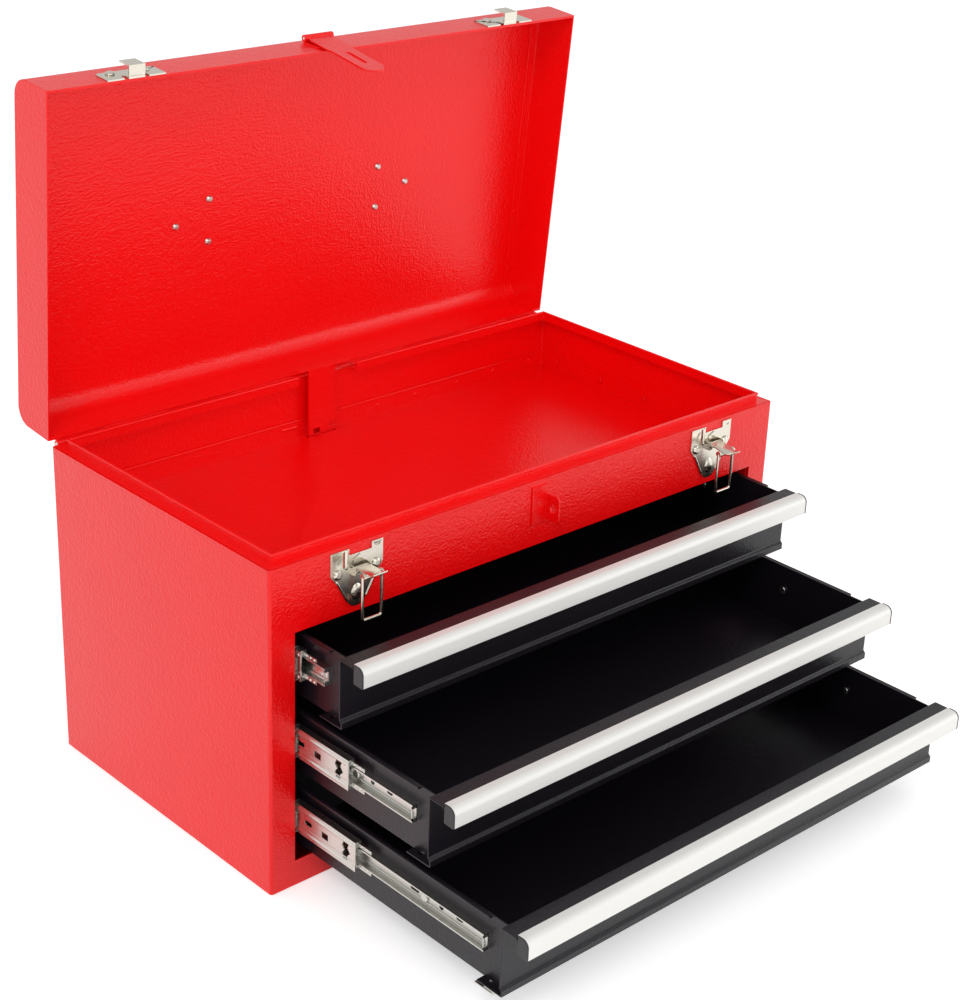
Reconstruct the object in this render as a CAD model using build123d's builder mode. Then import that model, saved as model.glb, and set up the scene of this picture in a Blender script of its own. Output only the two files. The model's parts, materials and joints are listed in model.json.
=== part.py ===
from build123d import *
import math
import os

# A portable steel tool box: a hinged lid over an open tray, and three drawers on ball slides.
# Millimetres. Origin: centre of the underside. +X right, -Y front, +Z up.

# ---- sheet metal
sheet = 1.0
drawer_sheet = 1.0
seat_gap = 0.3
cut_margin = 1.0
least_radius = 0.5

# ---- body
body_width = 510.0
body_depth = 268.8
body_height = 256.4
body_corner_radius = 2.5
stile_width = 21.5
bottom_rail_height = 20.5
top_rail_height = 52.4
pan_flange_height = 12.0
rim_inset = 8.2
rim_height = 6.7
rim_thickness = 1.6
tray_depth = 48.4
tray_flange_height = 14.0

# ---- uprights that carry the slides
upright_width = 25.0
rear_upright_from_rear = 29.0

# ---- lid
lid_open_angle = 85.1
lid_gap = 0.5
lid_height = 42.4
lid_edge_radius = 14.0
lid_hem_height = 6.0
lid_flange_depth = 8.0

# ---- piano hinge
knuckle_radius = 3.0
hinge_pin_radius = 1.6
hinge_running_gap = 0.05
hinge_leaf_height = 14.0
hinge_leaf_thickness = 1.0
hinge_drop = 0.9
hinge_end_inset = 6.0
hinge_first_knuckle = 42.0
knuckle_pitch = 60.0
knuckle_side_gap = 0.5
stop_width = 20.0
stop_from_side = 78.0
stop_reach = 7.0
stop_thickness = 1.5

# ---- draw latches
latch_from_side = 74.0
latch_sheet = 1.2
latch_plate_width = 46.0
latch_plate_drop = 2.4
latch_plate_height = 45.0
latch_dip = 5.0
latch_left_width = 16.0
latch_right_width = 10.0
latch_shoulder_drop = 17.0
latch_foot_radius = 9.0
latch_rivet_spacing = 34.0
latch_pivot_standoff = 5.6
latch_pivot_drop = 17.4
latch_pivot_radius = 1.25
latch_ear_radius = 3.5
latch_ear_thickness = 0.6
lever_half_width = 6.2
lever_length = 17.5
lever_barrel_radius = 2.5
lever_eye_distance = 12.0
lever_eye_radius = 2.3
lever_tip_length = 3.5
lever_tip_rise = 2.2
lever_angle_left = 0.0
lever_angle_right = -13.0
bail_pin_radius = 1.2
bail_wire_radius = 1.15
bail_length = 32.9
bail_half_width = 8.4
bail_bend_radius = 2.0
bail_eye_radius = 2.4
bail_pin_end_inset = 0.1
pivot_running_gap = 0.05
side_gap = 0.3

# ---- keepers on the lid
keeper_width = 49.0
keeper_height = 17.3
keeper_hook_width = 13.6
keeper_hook_reach = 10.0
keeper_hook_height = 13.5
keeper_rivet_spacing = 29.0
keeper_rivet_drop = 4.5

# ---- hasp and staple
hasp_axis_drop = 3.8
hasp_axis_standoff = 3.5
hasp_knuckle_radius = 2.75
hasp_pin_radius = 1.2
hasp_half_width = 13.75
hasp_tongue_knuckle_half = 5.9
hasp_leaf_rise = 7.1
hasp_leaf_sheet = 1.0
hasp_sheet = 1.5
hasp_tongue_half_width = 11.8
hasp_tip_half_width = 10.3
hasp_length = 75.5
hasp_shoulder = 30.0
hasp_shoulder_height = 3.0
hasp_slot_width = 3.8
hasp_slot_length = 24.0
hasp_slot_start = 35.5
hasp_sag_angle = 5.0
staple_sheet = 1.5
staple_base_width = 15.0
staple_drop = 4.4
staple_height = 30.0
staple_reach = 15.5
staple_fin_drop = 7.0
staple_fin_height = 21.0
staple_corner_radius = 3.5
staple_hole_radius = 3.4
staple_hole_from_edge = 6.0

# ---- carrying handle on the lid
handle_spacing = 200.0
handle_y = 3.0
handle_rod_radius = 3.0
handle_rod_gap = 0.05
handle_arm = 34.0
handle_grip_radius = 9.0
handle_grip_length = 124.0
handle_bend_radius = 4.5
handle_arm_inset = 8.0
handle_bracket_sheet = 1.5
handle_bracket_half = 25.0
handle_ear_width = 14.0
handle_ear_thickness = 3.0
handle_rivet_pair_in = 15.0
handle_rivet_pair_half = 17.65
handle_rivet_single_out = 16.0

# ---- rivets
rivet_shank_radius = 2.0
rivet_hole_gap = 0.05
rivet_head_radius = 4.2
rivet_head_height = 1.8
rivet_dome_taper = 35.0
rivet_tail_radius = 3.15

# ---- drawers, from the bottom up
drawer_names = ["bottom", "middle", "top"]
drawer_extensions = [209.6, 136.9, 43.6]
slide_ratios = [0.393, 0.540, 0.490]
drawer_space_below = 4.5
drawer_space_above = 3.4
drawer_gap = 8.3
drawer_side_gap = 4.0
drawer_rear_room = 28.8
drawer_wall_drop = 1.5
drawer_roll = 3.0
drawer_roll_thickness = 1.5
drawer_roll_start = 16.0
front_lip = 13.0
front_lip_turndown = 2.0
front_jog = 2.0
front_jog_height = 5.0
front_return = 22.0
pull_end_inset = 2.2
pull_cap_thickness = 1.3
pull_wall = 1.4
pull_depth = 10.5
pull_height = 14.8
pull_nose_radius = 5.5
drawer_rivet_radius = 3.2
drawer_rivet_front = 80.0
drawer_rivet_from_back = 40.0
catch_width = 20.0
catch_x = -5.0
catch_drop = 23.0
catch_reach = 8.0
catch_rise = 7.0
clip_width = 9.0
clip_length = 18.0
clip_drop = 2.8
clip_setback = 6.0

# ---- ball slides
slide_room = 10.5
slide_drop = 22.0
slide_sheet = 1.0
slide_outer_height = 26.5
slide_outer_depth = 5.5
slide_mid_height = 23.5
slide_mid_offset = 2.1
slide_mid_depth = 5.4
slide_inner_height = 13.4
slide_inner_depth = 5.4
slide_ball_depth = 3.6
slide_outer_shorter = 3.0
slide_mid_shorter = 18.0
slide_mid_setback = 18.0
slide_inner_shorter = 20.0
slide_inner_setback = 18.0
slide_outer_setback = 2.0

# ---- lock bar
lock_bar_from_rear = 8.4
lock_bar_sheet = 1.5
lock_bar_left = -19.0
lock_bar_right = 8.0
lock_bar_bottom = 40.0
lock_bar_rise = 10.1
lock_bar_flange_half = 28.5
lock_bar_travel = 10.0
lock_notch_half = 30.0
lock_slot_gap = 1.5
lock_finger = 6.0
lock_finger_sheet = 1.5
lock_arm_half = 7.0
lock_arm_reach = 15.0
lock_catch_clearance = 0.8
guide_above_bar_end = 10.0
guide_below_tray = 23.0
guide_length = 15.0
guide_lip = 5.0
guide_gap = 0.5

# ---- derived places
front_y = -body_depth / 2
rear_y = body_depth / 2
half_width = body_width / 2
inner_half = half_width - sheet
opening_half = half_width - stile_width
opening_top = body_height - top_rail_height
tray_floor_top = body_height - tray_depth
hinge_y = rear_y + knuckle_radius + seat_gap
hinge_z = body_height - hinge_drop
lid_bottom = body_height + lid_gap
lid_top = lid_bottom + lid_height
hinge_axis = Axis((0, hinge_y, hinge_z), (1, 0, 0))
hinge_half_length = half_width - hinge_end_inset
stop_centre = half_width - stop_from_side
latch_pivot_y = front_y - latch_pivot_standoff
latch_pivot_height = body_height - latch_pivot_drop
latch_plate_top = body_height - latch_plate_drop
latch_plate_bottom = latch_plate_top - latch_plate_height
plate_face_y = front_y - latch_sheet
hasp_y = front_y - hasp_axis_standoff
hasp_axis_height = lid_top - lid_edge_radius - hasp_axis_drop
hasp_leaf_bottom = lid_bottom + hasp_leaf_rise
staple_top = body_height - staple_drop
staple_bottom = staple_top - staple_height
staple_fin_top = staple_top - staple_fin_drop
staple_fin_bottom = staple_fin_top - staple_fin_height
handle_pivot_z = lid_top + handle_grip_radius + seat_gap

# ---- derived drawer sizes: the drawers share the opening out between them
drawer_first_bottom = bottom_rail_height + drawer_space_below
drawer_room = opening_top - drawer_space_above + drawer_gap - drawer_first_bottom
drawer_pitch = drawer_room / len(drawer_names)
front_height = drawer_pitch - drawer_gap
drawer_wall_height = front_height - drawer_wall_drop
drawer_box_length = body_depth - drawer_rear_room
drawer_half = opening_half - slide_room
front_half = opening_half - drawer_side_gap
pull_half_length = front_half - pull_end_inset
slide_height_in_drawer = front_height - slide_drop
catch_height = front_height - catch_drop
slide_outer_length = drawer_box_length - slide_outer_shorter
slide_mid_length = drawer_box_length - slide_mid_shorter
slide_inner_length = drawer_box_length - slide_inner_shorter

# ---- derived places of the lock bar
lock_bar_y = rear_y - lock_bar_from_rear
bar_back = lock_bar_y + lock_bar_sheet
lock_bar_top = body_height + lock_bar_rise
guide_heights = [lock_bar_bottom + guide_above_bar_end, tray_floor_top - guide_below_tray]

os.makedirs("parts", exist_ok=True)


def keep(shape, name):
    """Label one finished piece and write it."""
    shape.label = name
    export_step(shape, f"parts/{name}.step")


def opened(shape):
    """Turn a piece of the closed lid to where the open lid holds it."""
    return shape.rotate(hinge_axis, -lid_open_angle)


def block(low, high, mode=Mode.ADD):
    """A box between two corners, in the part being built."""
    size = [b - a for a, b in zip(low, high)]
    centre = [(a + b) / 2 for a, b in zip(low, high)]
    with Locations(tuple(centre)):
        Box(*size, mode=mode)


def rod_x(x0, x1, y, z, radius, mode=Mode.ADD):
    """A round bar along X, in the part being built."""
    with BuildSketch(Plane.YZ.offset(x0)) as outline:
        with Locations((y, z)):
            Circle(radius)
    extrude(outline.sketch, amount=x1 - x0, mode=mode)


def rod_y(x, z, y0, y1, radius, mode=Mode.ADD):
    """A round bar along Y, in the part being built."""
    with BuildSketch(Plane.XZ.offset(-y1)) as outline:
        with Locations((x, z)):
            Circle(radius)
    extrude(outline.sketch, amount=y1 - y0, mode=mode)


def rod_z(x, y, z0, z1, radius, mode=Mode.ADD):
    """A round bar along Z, in the part being built."""
    with BuildSketch(Plane.XY.offset(z0)) as outline:
        with Locations((x, y)):
            Circle(radius)
    extrude(outline.sketch, amount=z1 - z0, mode=mode)


def ring_wall(width, depth, wall, z0, z1, radius):
    """A four-sided upright wall, measured outside."""
    hole_radius = max(radius - wall, least_radius)
    with BuildSketch(Plane.XY.offset(z0)) as outline:
        RectangleRounded(width, depth, radius)
        RectangleRounded(width - 2 * wall, depth - 2 * wall, hole_radius, mode=Mode.SUBTRACT)
    extrude(outline.sketch, amount=z1 - z0)


def section_x(points, x0, x1, mode=Mode.ADD):
    """A straight piece along X with a cornered section given as (y, z) points."""
    with BuildSketch(Plane.YZ.offset(x0)) as outline:
        with BuildLine():
            Polyline(*points, close=True)
        make_face()
    extrude(outline.sketch, amount=x1 - x0, mode=mode)


latch_centres = {"left": latch_from_side - half_width, "right": half_width - latch_from_side}
latch_rivet_height = latch_plate_top - latch_shoulder_drop
latch_rivets_at = [
    centre + side * latch_rivet_spacing / 2 for centre in latch_centres.values() for side in (-1, 1)
]
keeper_bottom = lid_bottom + seat_gap
keeper_top = keeper_bottom + keeper_height
keeper_rivet_z = keeper_top - keeper_rivet_drop
keeper_rivets_at = [
    centre + side * keeper_rivet_spacing / 2 for centre in latch_centres.values() for side in (-1, 1)
]
rivet_hole_radius = rivet_shank_radius + rivet_hole_gap

# ================================================================ body

# The outer wrap: four walls with the drawer opening in the front one.
with BuildPart() as body_shell:
    ring_wall(body_width, body_depth, sheet, 0, body_height, body_corner_radius)
    block(
        (-opening_half, front_y - cut_margin, bottom_rail_height),
        (opening_half, front_y + sheet + cut_margin, opening_top),
        Mode.SUBTRACT,
    )
    for x in latch_rivets_at:
        y0, y1 = front_y - cut_margin, front_y + sheet + cut_margin
        rod_y(x, latch_rivet_height, y0, y1, rivet_hole_radius, Mode.SUBTRACT)
keep(body_shell.part, "body_shell")

# The floor pan, flanged up all round inside the walls.
inner_width = body_width - 2 * sheet
inner_depth = body_depth - 2 * sheet
inner_radius = body_corner_radius - sheet
with BuildPart() as body_bottom:
    with BuildSketch():
        RectangleRounded(inner_width, inner_depth, inner_radius)
    extrude(amount=sheet)
    ring_wall(inner_width, inner_depth, sheet, sheet, pan_flange_height, inner_radius)
keep(body_bottom.part, "body_bottom")

# The rim that the lid closes over: a flat ledge and an upright lip, broken at the back for the lock bar.
rim_top = body_height + rim_height
ledge_bottom = body_height - sheet
ledge_width = rim_inset + rim_thickness - sheet
lip_width = body_width - 2 * rim_inset
lip_depth = body_depth - 2 * rim_inset
with BuildPart() as rim_frame:
    ring_wall(inner_width, inner_depth, ledge_width, ledge_bottom, body_height, inner_radius)
    ring_wall(lip_width, lip_depth, rim_thickness, ledge_bottom, rim_top, body_corner_radius)
    block(
        (-lock_notch_half, lip_depth / 2 - rim_thickness - cut_margin, ledge_bottom - cut_margin),
        (lock_notch_half, inner_depth / 2 + cut_margin, rim_top + cut_margin),
        Mode.SUBTRACT,
    )
keep(rim_frame.part, "rim_frame")

# The floor of the top compartment, with a slot that the lock bar passes through.
with BuildPart() as tray:
    with BuildSketch(Plane.XY.offset(tray_floor_top - sheet)):
        RectangleRounded(inner_width, inner_depth, inner_radius)
    extrude(amount=sheet)
    ring_wall(
        inner_width, inner_depth, sheet, tray_floor_top, tray_floor_top + tray_flange_height, inner_radius
    )
    block(
        (lock_bar_left - lock_slot_gap, lock_bar_y - lock_slot_gap, tray_floor_top - sheet - cut_margin),
        (lock_bar_right + lock_slot_gap, bar_back + lock_slot_gap, tray_floor_top + cut_margin),
        Mode.SUBTRACT,
    )
keep(tray.part, "tray")

# Four channel-shaped columns that carry the slides, two on each side.
upright_starts = [front_y + sheet + inner_radius + seat_gap, rear_y - rear_upright_from_rear - upright_width]
with BuildPart() as slide_uprights:
    for side in (-1, 1):
        for y0 in upright_starts:
            web = sorted((side * opening_half, side * (opening_half + sheet)))
            leg = sorted((side * opening_half, side * inner_half))
            bottom = pan_flange_height + seat_gap
            top = tray_floor_top - sheet
            block((web[0], y0, bottom), (web[1], y0 + upright_width, top))
            block((leg[0], y0, bottom), (leg[1], y0 + sheet, top))
            block((leg[0], y0 + upright_width - sheet, bottom), (leg[1], y0 + upright_width, top))
keep(slide_uprights.part, "slide_uprights")

# ---- piano hinge: knuckles belong to the body and the lid in turn
breaks = [-hinge_half_length]
next_break = hinge_first_knuckle - hinge_half_length
while next_break < hinge_half_length:
    breaks.append(next_break)
    next_break += knuckle_pitch
breaks.append(hinge_half_length)
knuckles = list(zip(breaks[:-1], breaks[1:]))
knuckle_bore = hinge_pin_radius + hinge_running_gap


def hinge_leaf(spans, direction):
    """One leaf of the hinge, upwards (+1) or downwards (-1) from the pin."""
    leaf_low = knuckle_radius + seat_gap
    z_near = hinge_z + direction * leaf_low
    z_far = hinge_z + direction * (leaf_low + hinge_leaf_height - knuckle_radius)
    z0, z1 = sorted((z_near, z_far))
    block((-hinge_half_length, rear_y, z0), (hinge_half_length, rear_y + hinge_leaf_thickness, z1))
    for x0, x1 in spans:
        low = x0 + knuckle_side_gap / 2
        high = x1 - knuckle_side_gap / 2
        rod_x(low, high, hinge_y, hinge_z, knuckle_radius)
        n0, n1 = sorted((hinge_z + direction * hinge_leaf_thickness, z_near))
        block((low, rear_y, n0), (high, rear_y + hinge_leaf_thickness, n1))
        rod_x(low, high, hinge_y, hinge_z, knuckle_bore, Mode.SUBTRACT)


with BuildPart() as hinge_body_leaf:
    hinge_leaf(knuckles[0::2], -1)
keep(hinge_body_leaf.part, "hinge_body_leaf")

with BuildPart() as hinge_pin:
    rod_x(-hinge_half_length, hinge_half_length, hinge_y, hinge_z, hinge_pin_radius)
keep(hinge_pin.part, "hinge_pin")

# Two straps behind the hinge that the open lid comes to rest on.
open_angle = math.radians(lid_open_angle)
leaf_face = hinge_y - rear_y - hinge_leaf_thickness
stop_inner = stop_reach - stop_thickness
stop_top = hinge_z + (leaf_face + math.cos(open_angle) * stop_inner) / math.sin(open_angle) - seat_gap
stop_bottom = hinge_z - hinge_leaf_height + 2 * stop_thickness
with BuildPart() as lid_stops:
    for side in (-1, 1):
        x0 = side * stop_centre - stop_width / 2
        x1 = x0 + stop_width
        leaf_y = rear_y + hinge_leaf_thickness
        block((x0, leaf_y, stop_bottom), (x1, hinge_y + stop_reach, stop_bottom + stop_thickness))
        block((x0, hinge_y + stop_inner, stop_bottom), (x1, hinge_y + stop_reach, stop_top))
        block((x0, leaf_y, stop_bottom), (x1, leaf_y + stop_thickness, stop_bottom + 2 * stop_thickness))
keep(lid_stops.part, "lid_stops")

# ---- draw latches: plate, rivets, pivots, lever, pin and wire bail
plate_half = latch_plate_width / 2
shoulder_z = latch_plate_top - latch_shoulder_drop
foot_z = latch_plate_bottom + latch_foot_radius
dip_z = latch_plate_top - latch_dip
ear_inner = lever_half_width + side_gap
ear_outer = ear_inner + latch_ear_thickness
pivot_hole_radius = latch_pivot_radius + pivot_running_gap


def latch_plate(centre):
    """The plate of one latch, with the two ears that hold the lever."""
    with BuildPart() as plate:
        with BuildSketch(Plane.XZ.offset(-front_y)):
            with BuildLine():
                Polyline(
                    (centre - latch_foot_radius, foot_z),
                    (centre - plate_half, shoulder_z),
                    (centre - plate_half, latch_plate_top),
                    (centre - plate_half + latch_left_width, latch_plate_top),
                    (centre - plate_half + latch_left_width, dip_z),
                    (centre + plate_half - latch_right_width, dip_z),
                    (centre + plate_half - latch_right_width, latch_plate_top),
                    (centre + plate_half, latch_plate_top),
                    (centre + plate_half, shoulder_z),
                    (centre + latch_foot_radius, foot_z),
                )
                RadiusArc(
                    (centre + latch_foot_radius, foot_z),
                    (centre - latch_foot_radius, foot_z),
                    latch_foot_radius,
                )
            make_face()
        extrude(amount=latch_sheet)
        for side in (-1, 1):
            x0, x1 = sorted((centre + side * ear_inner, centre + side * ear_outer))
            block(
                (x0, latch_pivot_y, latch_pivot_height - latch_ear_radius),
                (x1, plate_face_y, latch_pivot_height + latch_ear_radius),
            )
            rod_x(x0, x1, latch_pivot_y, latch_pivot_height, latch_ear_radius)
            rod_x(x0, x1, latch_pivot_y, latch_pivot_height, pivot_hole_radius, Mode.SUBTRACT)
            x = centre + side * latch_rivet_spacing / 2
            y0, y1 = plate_face_y - cut_margin, front_y + cut_margin
            rod_y(x, latch_rivet_height, y0, y1, rivet_hole_radius, Mode.SUBTRACT)
    return plate.part


def lever(centre, angle):
    """The finger lever: pivot barrel, eye barrel, flat and turned-up tip."""
    x0 = centre - lever_half_width
    x1 = centre + lever_half_width
    eye_y = latch_pivot_y - lever_eye_distance
    top = latch_pivot_height + lever_barrel_radius
    under = top - latch_sheet
    tip_y = latch_pivot_y - lever_length
    with BuildPart() as arm:
        rod_x(x0, x1, latch_pivot_y, latch_pivot_height, lever_barrel_radius)
        rod_x(x0, x1, eye_y, latch_pivot_height, lever_eye_radius)
        section_x(
            [
                (latch_pivot_y, under),
                (tip_y, under),
                (tip_y - lever_tip_length, under + lever_tip_rise),
                (tip_y - lever_tip_length, top + lever_tip_rise),
                (tip_y, top),
                (latch_pivot_y, top),
            ],
            x0,
            x1,
        )
        rod_x(x0, x1, latch_pivot_y, latch_pivot_height, pivot_hole_radius, Mode.SUBTRACT)
        rod_x(x0, x1, eye_y, latch_pivot_height, bail_pin_radius + pivot_running_gap, Mode.SUBTRACT)
    return arm.part.rotate(Axis((centre, latch_pivot_y, latch_pivot_height), (-1, 0, 0)), angle)


def eye_place(angle):
    """Where the eye of a lever at this angle stands, as (y, z)."""
    turn = math.radians(angle)
    y = latch_pivot_y - lever_eye_distance * math.cos(turn)
    return y, latch_pivot_height + lever_eye_distance * math.sin(turn)


def bail(centre, angle):
    """The wire bail, hanging from its eyes."""
    y, z = eye_place(angle)
    eye_outer = bail_half_width + seat_gap
    with BuildPart() as wire:
        with BuildLine(Plane.XZ.offset(-y)):
            FilletPolyline(
                (centre - bail_half_width, z),
                (centre - bail_half_width, z - bail_length),
                (centre + bail_half_width, z - bail_length),
                (centre + bail_half_width, z),
                radius=bail_bend_radius,
            )
        with BuildSketch(Plane((centre - bail_half_width, y, z), z_dir=(0, 0, -1))):
            Circle(bail_wire_radius)
        sweep()
        for side in (-1, 1):
            x0, x1 = sorted((centre + side * ear_inner, centre + side * eye_outer))
            rod_x(x0, x1, y, z, bail_eye_radius)
            rod_x(x0, x1, y, z, bail_pin_radius + pivot_running_gap, Mode.SUBTRACT)
    return wire.part


def bail_pin(centre, angle):
    """The short pin that joins the bail's eyes to the lever."""
    y, z = eye_place(angle)
    half = bail_half_width + seat_gap - bail_pin_end_inset
    with BuildPart() as pin:
        rod_x(centre - half, centre + half, y, z, bail_pin_radius)
    return pin.part


lever_angles = {"left": lever_angle_left, "right": lever_angle_right}
for name, centre in latch_centres.items():
    keep(latch_plate(centre), f"latch_plate_{name}")
    keep(lever(centre, lever_angles[name]), f"latch_lever_{name}")
    keep(bail(centre, lever_angles[name]), f"latch_bail_{name}")
    keep(bail_pin(centre, lever_angles[name]), f"latch_pin_{name}")

with BuildPart() as latch_pivots:
    for centre in latch_centres.values():
        x0, x1 = centre - ear_outer, centre + ear_outer
        rod_x(x0, x1, latch_pivot_y, latch_pivot_height, latch_pivot_radius)
keep(latch_pivots.part, "latch_pivots")


def rivet_y(x, z, face_y, length):
    """A domed rivet in the front: its head stands out from face_y, its shank runs back."""
    with BuildSketch(Plane.XZ.offset(-face_y)) as outline:
        with Locations((x, z)):
            Circle(rivet_head_radius)
    extrude(outline.sketch, amount=rivet_head_height, taper=rivet_dome_taper)
    rod_y(x, z, face_y, face_y + length, rivet_shank_radius)


with BuildPart() as latch_rivets:
    for x in latch_rivets_at:
        rivet_y(x, latch_rivet_height, plate_face_y, latch_sheet + sheet)
keep(latch_rivets.part, "latch_rivets")

# ---- staple: a sheet angle on the front that the hasp closes over
with BuildPart() as staple:
    block((-staple_base_width, front_y - staple_sheet, staple_bottom), (0, front_y, staple_top))
    fin_low = (-staple_sheet, front_y - staple_reach, staple_fin_bottom)
    block(fin_low, (0, front_y, staple_fin_top))
    outer = staple.edges().filter_by(Axis.X).group_by(Axis.Y)[0]
    fillet(outer, radius=staple_corner_radius)
    hole_y = front_y - staple_reach + staple_hole_from_edge
    hole_z = (staple_fin_top + staple_fin_bottom) / 2
    x0, x1 = -staple_sheet - cut_margin, cut_margin
    rod_x(x0, x1, hole_y, hole_z, staple_hole_radius, Mode.SUBTRACT)
keep(staple.part, "staple")

# ================================================================ lid


def lid_outline(inset):
    """The lid's section inside its skin, open at the bottom."""
    FilletPolyline(
        (front_y + inset, lid_bottom),
        (front_y + inset, lid_top - inset),
        (rear_y - inset, lid_top - inset),
        (rear_y - inset, lid_bottom),
        radius=lid_edge_radius - inset,
    )


def lid_skin(x0, x1, inset, wall):
    """A length of lid skin, wall thick, its outside inset from the lid's outside."""
    with BuildSketch(Plane.YZ.offset(x0)) as outline:
        with BuildLine():
            lid_outline(inset)
            lid_outline(inset + wall)
            Line((front_y + inset, lid_bottom), (front_y + inset + wall, lid_bottom))
            Line((rear_y - inset, lid_bottom), (rear_y - inset - wall, lid_bottom))
        make_face()
    extrude(outline.sketch, amount=x1 - x0)


handle_centres = [-handle_spacing / 2, handle_spacing / 2]
handle_rivets_at = []
for centre in handle_centres:
    outward = math.copysign(1, centre)
    handle_rivets_at.append((centre + outward * handle_rivet_single_out, handle_y))
    for side in (-1, 1):
        pair_x = centre - outward * handle_rivet_pair_in
        handle_rivets_at.append((pair_x, handle_y + side * handle_rivet_pair_half))

with BuildPart() as lid_shell:
    lid_skin(-inner_half, inner_half, 0, sheet)
    hem_half = inner_half - lid_flange_depth - seat_gap
    hem_y = front_y + sheet
    block((-hem_half, hem_y, lid_bottom), (hem_half, hem_y + sheet, lid_bottom + lid_hem_height))
    for x, y in handle_rivets_at:
        rod_z(x, y, lid_top - sheet - cut_margin, lid_top + cut_margin, rivet_hole_radius, Mode.SUBTRACT)
    for x in keeper_rivets_at:
        y0, y1 = front_y - cut_margin, hem_y + sheet + cut_margin
        rod_y(x, keeper_rivet_z, y0, y1, rivet_hole_radius, Mode.SUBTRACT)
keep(opened(lid_shell.part), "lid_shell")

for name, side in {"left": -1, "right": 1}.items():
    x0, x1 = sorted((side * inner_half, side * half_width))
    flange = sorted((side * (inner_half - lid_flange_depth), side * inner_half))
    with BuildPart() as lid_end:
        with BuildSketch(Plane.YZ.offset(x0)):
            with BuildLine():
                lid_outline(0)
                Line((front_y, lid_bottom), (rear_y, lid_bottom))
            make_face()
        extrude(amount=x1 - x0)
        lid_skin(flange[0], flange[1], sheet, sheet)
    keep(opened(lid_end.part), f"lid_end_{name}")

with BuildPart() as hinge_lid_leaf:
    hinge_leaf(knuckles[1::2], 1)
keep(opened(hinge_lid_leaf.part), "hinge_lid_leaf")

# Keepers: a riveted plate with an upturned hook for the bail.
for name, centre in latch_centres.items():
    hook_y = front_y - keeper_hook_reach
    x0, x1 = centre - keeper_width / 2, centre + keeper_width / 2
    with BuildPart() as keeper:
        block((x0, plate_face_y, keeper_bottom), (x1, front_y, keeper_top))
        section_x(
            [
                (plate_face_y, keeper_bottom),
                (hook_y, keeper_bottom),
                (hook_y, keeper_bottom + keeper_hook_height),
                (hook_y + latch_sheet, keeper_bottom + keeper_hook_height),
                (hook_y + latch_sheet, keeper_bottom + latch_sheet),
                (plate_face_y, keeper_bottom + latch_sheet),
            ],
            centre - keeper_hook_width / 2,
            centre + keeper_hook_width / 2,
        )
        for side in (-1, 1):
            x = centre + side * keeper_rivet_spacing / 2
            y0, y1 = plate_face_y - cut_margin, front_y + cut_margin
            rod_y(x, keeper_rivet_z, y0, y1, rivet_hole_radius, Mode.SUBTRACT)
    keep(opened(keeper.part), f"keeper_{name}")

with BuildPart() as keeper_rivets:
    for x in keeper_rivets_at:
        rivet_y(x, keeper_rivet_z, plate_face_y, latch_sheet + sheet)
keep(opened(keeper_rivets.part), "keeper_rivets")

# ---- hasp: a hinged strap with a slot, on the lid's front
hasp_bore = hasp_pin_radius + pivot_running_gap
base_knuckle_inner = hasp_tongue_knuckle_half + side_gap
leaf_top = hasp_axis_height - hasp_knuckle_radius - seat_gap
with BuildPart() as hasp_base:
    leaf_y = front_y - hasp_leaf_sheet
    block((-hasp_half_width, leaf_y, hasp_leaf_bottom), (hasp_half_width, front_y, leaf_top))
    for side in (-1, 1):
        x0, x1 = sorted((side * base_knuckle_inner, side * hasp_half_width))
        rod_x(x0, x1, hasp_y, hasp_axis_height, hasp_knuckle_radius)
        block((x0, leaf_y, leaf_top), (x1, front_y, hasp_axis_height))
        rod_x(x0, x1, hasp_y, hasp_axis_height, hasp_bore, Mode.SUBTRACT)
keep(opened(hasp_base.part), "hasp_base")

with BuildPart() as hasp_pin:
    rod_x(-hasp_half_width, hasp_half_width, hasp_y, hasp_axis_height, hasp_pin_radius)
keep(opened(hasp_pin.part), "hasp_pin")

neck_drop = hasp_knuckle_radius + 2 * seat_gap
tip_z = hasp_axis_height - hasp_length
shoulder_top = hasp_axis_height - hasp_shoulder + hasp_shoulder_height
with BuildPart() as hasp_tongue:
    with BuildSketch(Plane.XZ.offset(-hasp_y - hasp_sheet / 2)):
        with BuildLine():
            Polyline(
                (-hasp_tip_half_width, tip_z + hasp_tip_half_width),
                (-hasp_tip_half_width, shoulder_top - hasp_shoulder_height),
                (-hasp_tongue_half_width, shoulder_top),
                (-hasp_tongue_half_width, hasp_axis_height - neck_drop),
                (-hasp_tongue_knuckle_half, hasp_axis_height - neck_drop),
                (-hasp_tongue_knuckle_half, hasp_axis_height),
                (hasp_tongue_knuckle_half, hasp_axis_height),
                (hasp_tongue_knuckle_half, hasp_axis_height - neck_drop),
                (hasp_tongue_half_width, hasp_axis_height - neck_drop),
                (hasp_tongue_half_width, shoulder_top),
                (hasp_tip_half_width, shoulder_top - hasp_shoulder_height),
                (hasp_tip_half_width, tip_z + hasp_tip_half_width),
            )
            RadiusArc(
                (hasp_tip_half_width, tip_z + hasp_tip_half_width),
                (-hasp_tip_half_width, tip_z + hasp_tip_half_width),
                hasp_tip_half_width,
            )
        make_face()
        with Locations((0, hasp_axis_height - hasp_slot_start - hasp_slot_length / 2)):
            SlotOverall(hasp_slot_length, hasp_slot_width, rotation=90, mode=Mode.SUBTRACT)
    extrude(amount=hasp_sheet)
    tongue_half = hasp_tongue_knuckle_half
    rod_x(-tongue_half, tongue_half, hasp_y, hasp_axis_height, hasp_knuckle_radius)
    rod_x(-tongue_half, tongue_half, hasp_y, hasp_axis_height, hasp_bore, Mode.SUBTRACT)
hasp_axis = Axis((0, hasp_y, hasp_axis_height), (1, 0, 0))
keep(opened(hasp_tongue.part.rotate(hasp_axis, hasp_sag_angle)), "hasp_tongue")

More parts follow.
